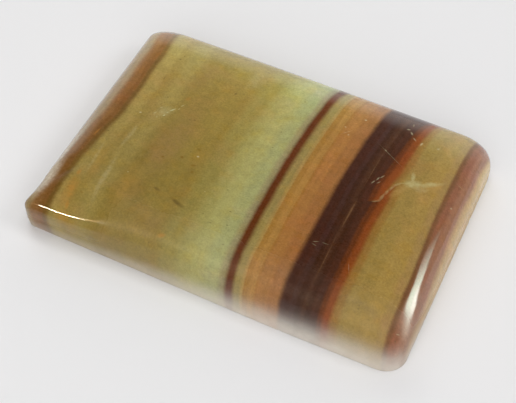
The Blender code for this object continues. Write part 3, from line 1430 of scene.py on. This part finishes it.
@dataclass(frozen=True)
class SoftBox:
    """A rectangular studio light, aimed at the stone from a direction.

    Its angles are degrees, its distance and sizes are metres, and its power is in watts.
    """

    name: str
    azimuth: float
    elevation: float
    distance: float
    wide: float
    high: float
    power: float
    sees: Sees = Sees.MATT
    colour: str = "#FFFFFF"

    def build(self) -> bpy.types.Object:
        """Make the lamp: distance away along (cos az cos el, sin az cos el, sin el).

        Returns:
            The lamp's object.
        """
        light = bpy.data.lights.new(self.name, "AREA")
        light.shape = "RECTANGLE"
        light.size = self.wide
        light.size_y = self.high
        light.energy = self.power
        light.color = linear(self.colour)[:3]
        lamp = put(self.name, light)
        az, el = math.radians(self.azimuth), math.radians(self.elevation)
        way = Vector((math.cos(az) * math.cos(el), math.sin(az) * math.cos(el), math.sin(el)))
        turn = way.to_track_quat("Z", "Y").to_matrix().to_4x4()
        lamp.matrix_world = Matrix.Translation(way * self.distance) @ turn
        lamp.visible_camera = False
        lamp.visible_glossy = self.sees is Sees.GLOSS
        lamp.visible_diffuse = self.sees is Sees.MATT
        LOG.info("%s: light from %.0f, %.0f degrees", self.name, self.azimuth, self.elevation)
        return lamp


@dataclass(frozen=True)
class Card:
    """A bright flat shape beside the stone, seen only in its polish, such as a window pane.

    It stands upright and faces a place on the stone from an azimuth. Its corners are mm along
    it, counted from the line through that place, and mm above the floor. Where fade_run is
    above 0, its light falls to nothing along it from fade_run before fade_end to fade_end.
    """

    name: str
    facing: tuple[float, float]
    azimuth: float
    distance: float
    corners: tuple[tuple[float, float], ...]
    strength: float
    colour: str = "#FFFFFF"
    fade_end: float = 0.0
    fade_run: float = 0.0
    fade_power: float = 1.5

    def faded(self, graph: Graph) -> Socket:
        """The light's strength along the card: strength ((end - along) / run)^power.

        Args:
            graph: The node tree of the card's material.

        Returns:
            The strength's output socket.
        """
        az = math.radians(self.azimuth)
        way = (-math.sin(az), math.cos(az))
        middle = (self.facing[0] * way[0] + self.facing[1] * way[1]) * MM
        place = graph.add("TexCoord", out="Object")
        along = graph.add("VectorMath", (place, (*way, 0.0)), "Value", operation="DOT_PRODUCT")
        start, end = (self.fade_end - self.fade_run) * MM, self.fade_end * MM
        share = graph.add("MapRange", (along, middle + end, middle + start))
        share = graph.add("Math", (share, self.fade_power), operation="POWER")
        return graph.add("Math", (share, self.strength), operation="MULTIPLY")

    def build(self) -> bpy.types.Object:
        """Make the shape: facing + distance (cos az, sin az) + along (-sin az, cos az).

        Returns:
            The card's object, which is part of the studio.
        """
        az = math.radians(self.azimuth)
        along, height = np.array(self.corners).T
        x = self.facing[0] + self.distance * math.cos(az) - along * math.sin(az)
        y = self.facing[1] + self.distance * math.sin(az) + along * math.cos(az)
        points = np.column_stack([x, y, height]) * MM
        mesh = bpy.data.meshes.new(self.name)
        mesh.from_pydata(points.tolist(), [], [tuple(range(len(points)))])
        material = bpy.data.materials.new(self.name)
        material.use_nodes = True
        graph = Graph(material.node_tree)
        output = material.node_tree.nodes["Material Output"]
        strength = self.faded(graph) if self.fade_run > 0 else self.strength
        glow = graph.add("Emission", {"Color": linear(self.colour), "Strength": strength})
        material.node_tree.links.new(glow, output.inputs["Surface"])
        mesh.materials.append(material)
        card = put(self.name, mesh)
        card.visible_camera = False
        card.visible_diffuse = False
        card.visible_shadow = False
        LOG.info("%s: card of strength %.1f", self.name, self.strength)
        return card


WINDOW_PLACE = (15.3, -6.0)
WINDOW_AZIMUTH = 40.0
WINDOW_DISTANCE = 50.0
EDGE_DISTANCE = 49.5


@dataclass
class Studio:
    """The pale floor, the soft light round the stone, and the camera."""

    # The floor: its colour, half its side in m, and how far in mm it lies under the stone
    floor_colour: str = "#EDEDEE"
    floor_half: float = 1.5
    floor_drop: float = 0.01

    # The camera: lens and sensor width in mm, clip distances in m, place in mm, and its axes
    lens: float = 100.0
    sensor: float = 36.0
    clip: Span = (0.005, 10.0)
    eye: tuple[float, float, float] = (24.808, -77.394, 90.926)
    ahead: tuple[float, float, float] = (-0.20774, 0.63005, -0.74826)
    rightward: tuple[float, float, float] = (0.91428, 0.39702, 0.08047)

    # The room's brightness by height, from the horizon at 0 to overhead at 1, and its tint
    room_far: tuple[Span, ...] = (
        (0.0, 0.94), (0.06, 1.02), (0.15, 1.04), (0.33, 1.02), (0.42, 0.92), (0.53, 0.70),
        (0.62, 0.43), (0.68, 0.25), (0.74, 0.16), (0.90, 0.06), (1.0, 0.05),
    )
    room_tint: tuple[float, float, float] = (1.06, 1.0, 0.95)

    # The share of it on the dark sides, the pale wall's direction, and how squarely a side has
    # to face that way for the light to start growing and for it to be full
    room_dark: float = 0.10
    room_azimuth: float = 104.0
    room_facing: Span = (0.30, 0.95)

    boxes: tuple[SoftBox, ...] = (
        SoftBox("key", 5, 48, 1.6, 0.6, 0.6, 4.2),
        SoftBox("overhead", 0, 88, 1.6, 1.2, 1.2, 9.7),
        SoftBox("front_fill", -80, 36, 1.6, 1.8, 1.4, 17.2),
        SoftBox("back_fill", 140, 46, 1.6, 0.8, 0.8, 3.8),
        SoftBox("glint", -118.4, 43.6, 1.6, 0.055, 0.05, 1.15, Sees.GLOSS, "#FFF0D0"),
        SoftBox("glint_tail", -138, 43, 0.6, 0.30, 0.02, 0.13, Sees.GLOSS, "#FFC890"),
    )
    cards: tuple[Card, ...] = (
        Card(
            "window", WINDOW_PLACE, WINDOW_AZIMUTH, WINDOW_DISTANCE,
            ((9.5, 28.4), (9.5, 19.0), (5.2, 17.1), (3.0, 15.6), (1.9, 13.6), (0.7, 12.6),
             (-1.3, 11.8), (-2.5, 8.3), (-4.5, 0.2), (-10.5, 0.2), (-10.9, 12.2), (-10.6, 20.0),
             (-9.3, 25.5), (-6.1, 25.5), (-2.3, 22.1), (-0.4, 24.0), (1.5, 24.7), (3.0, 26.1),
             (4.5, 27.1), (6.9, 28.0)),
            11.8, "#E2FFED", 9.5, 11.0,
        ),
        Card(
            "window_edge", WINDOW_PLACE, WINDOW_AZIMUTH, EDGE_DISTANCE,
            ((-1.3, 11.8), (-2.5, 8.3), (-4.5, 0.2), (-18.5, 0.2), (-18.5, 8.0), (-9.1, 7.5),
             (-5.1, 8.0), (-3.4, 12.5), (-1.7, 15.1)),
            13.5, "#F4FFF4",
        ),
    )

    def build(self) -> None:
        """Make everything round the stone."""
        self.lay_floor()
        self.light_world()
        for light in (*self.boxes, *self.cards):
            light.build()
        self.place_camera()

    def lay_floor(self) -> None:
        """A plain, matt, pale board under the stone."""
        half, z = self.floor_half, -self.floor_drop * MM
        corners = [(-half, -half, z), (half, -half, z), (half, half, z), (-half, half, z)]
        mesh = bpy.data.meshes.new("floor")
        mesh.from_pydata(corners, [], [(0, 1, 2, 3)])
        material = bpy.data.materials.new("matt_white_board")
        material.use_nodes = True
        shader = material.node_tree.nodes["Principled BSDF"]
        shader.inputs["Base Color"].default_value = linear(self.floor_colour)
        shader.inputs["Roughness"].default_value = 1.0
        shader.inputs["Specular IOR Level"].default_value = 0.0
        mesh.materials.append(material)
        floor = put("floor", mesh)
        LOG.info("floor: %.1f m square", 2 * half)

    def light_world(self) -> None:
        """A room by height and side: a pale far wall, a dim ceiling and dark other sides."""
        world = bpy.data.worlds.new("studio")
        world.use_nodes = True
        bpy.context.scene.world = world
        graph = Graph(world.node_tree)
        way = graph.add("TexCoord", out="Generated")
        height = graph.add("SeparateXYZ", (way,), "Z")
        room = graph.add("ValToRGB", (height,))
        stops = []
        for at, level in self.room_far:
            stops.append((at, (*(level * part for part in self.room_tint), 1.0)))
        fill_ramp(room.node.color_ramp, stops)
        az = math.radians(self.room_azimuth)
        sockets = (way, (math.cos(az), math.sin(az), 0.0))
        facing = graph.add("VectorMath", sockets, "Value", operation="DOT_PRODUCT")
        side = (facing, *self.room_facing, self.room_dark)
        strength = graph.add("MapRange", side, interpolation_type="SMOOTHSTEP")
        background = world.node_tree.nodes["Background"]
        world.node_tree.links.new(room, background.inputs["Color"])
        world.node_tree.links.new(strength, background.inputs["Strength"])

    def place_camera(self) -> None:
        """Put the camera at the photograph's viewpoint, looking along ahead."""
        camera = bpy.data.cameras.new("camera")
        camera.lens = self.lens
        camera.sensor_width = self.sensor
        camera.sensor_fit = "HORIZONTAL"
        camera.clip_start, camera.clip_end = self.clip
        seat = put("camera", camera)
        ahead = Vector(self.ahead).normalized()
        rightward = Vector(self.rightward)
        rightward = (rightward - ahead * rightward.dot(ahead)).normalized()
        upward = rightward.cross(ahead)
        turn = Matrix((rightward, upward, -ahead)).transposed()
        seat.matrix_world = Matrix.Translation(Vector(self.eye) * MM) @ turn.to_4x4()
        bpy.context.scene.camera = seat
        bpy.context.scene.view_settings.view_transform = "Standard"


def main() -> None:
    """Build the stone and its surroundings."""
    logging.basicConfig(level=logging.INFO, format="%(name)s: %(message)s")
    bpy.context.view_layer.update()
    low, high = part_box("cabochon")
    size = (high - low) / MM
    stone = Cabochon(length=size.x, width=size.y, height=size.z)
    stone.build(BandedJasper().dress())
    Studio().build()


if __name__ == "__main__":
    main()
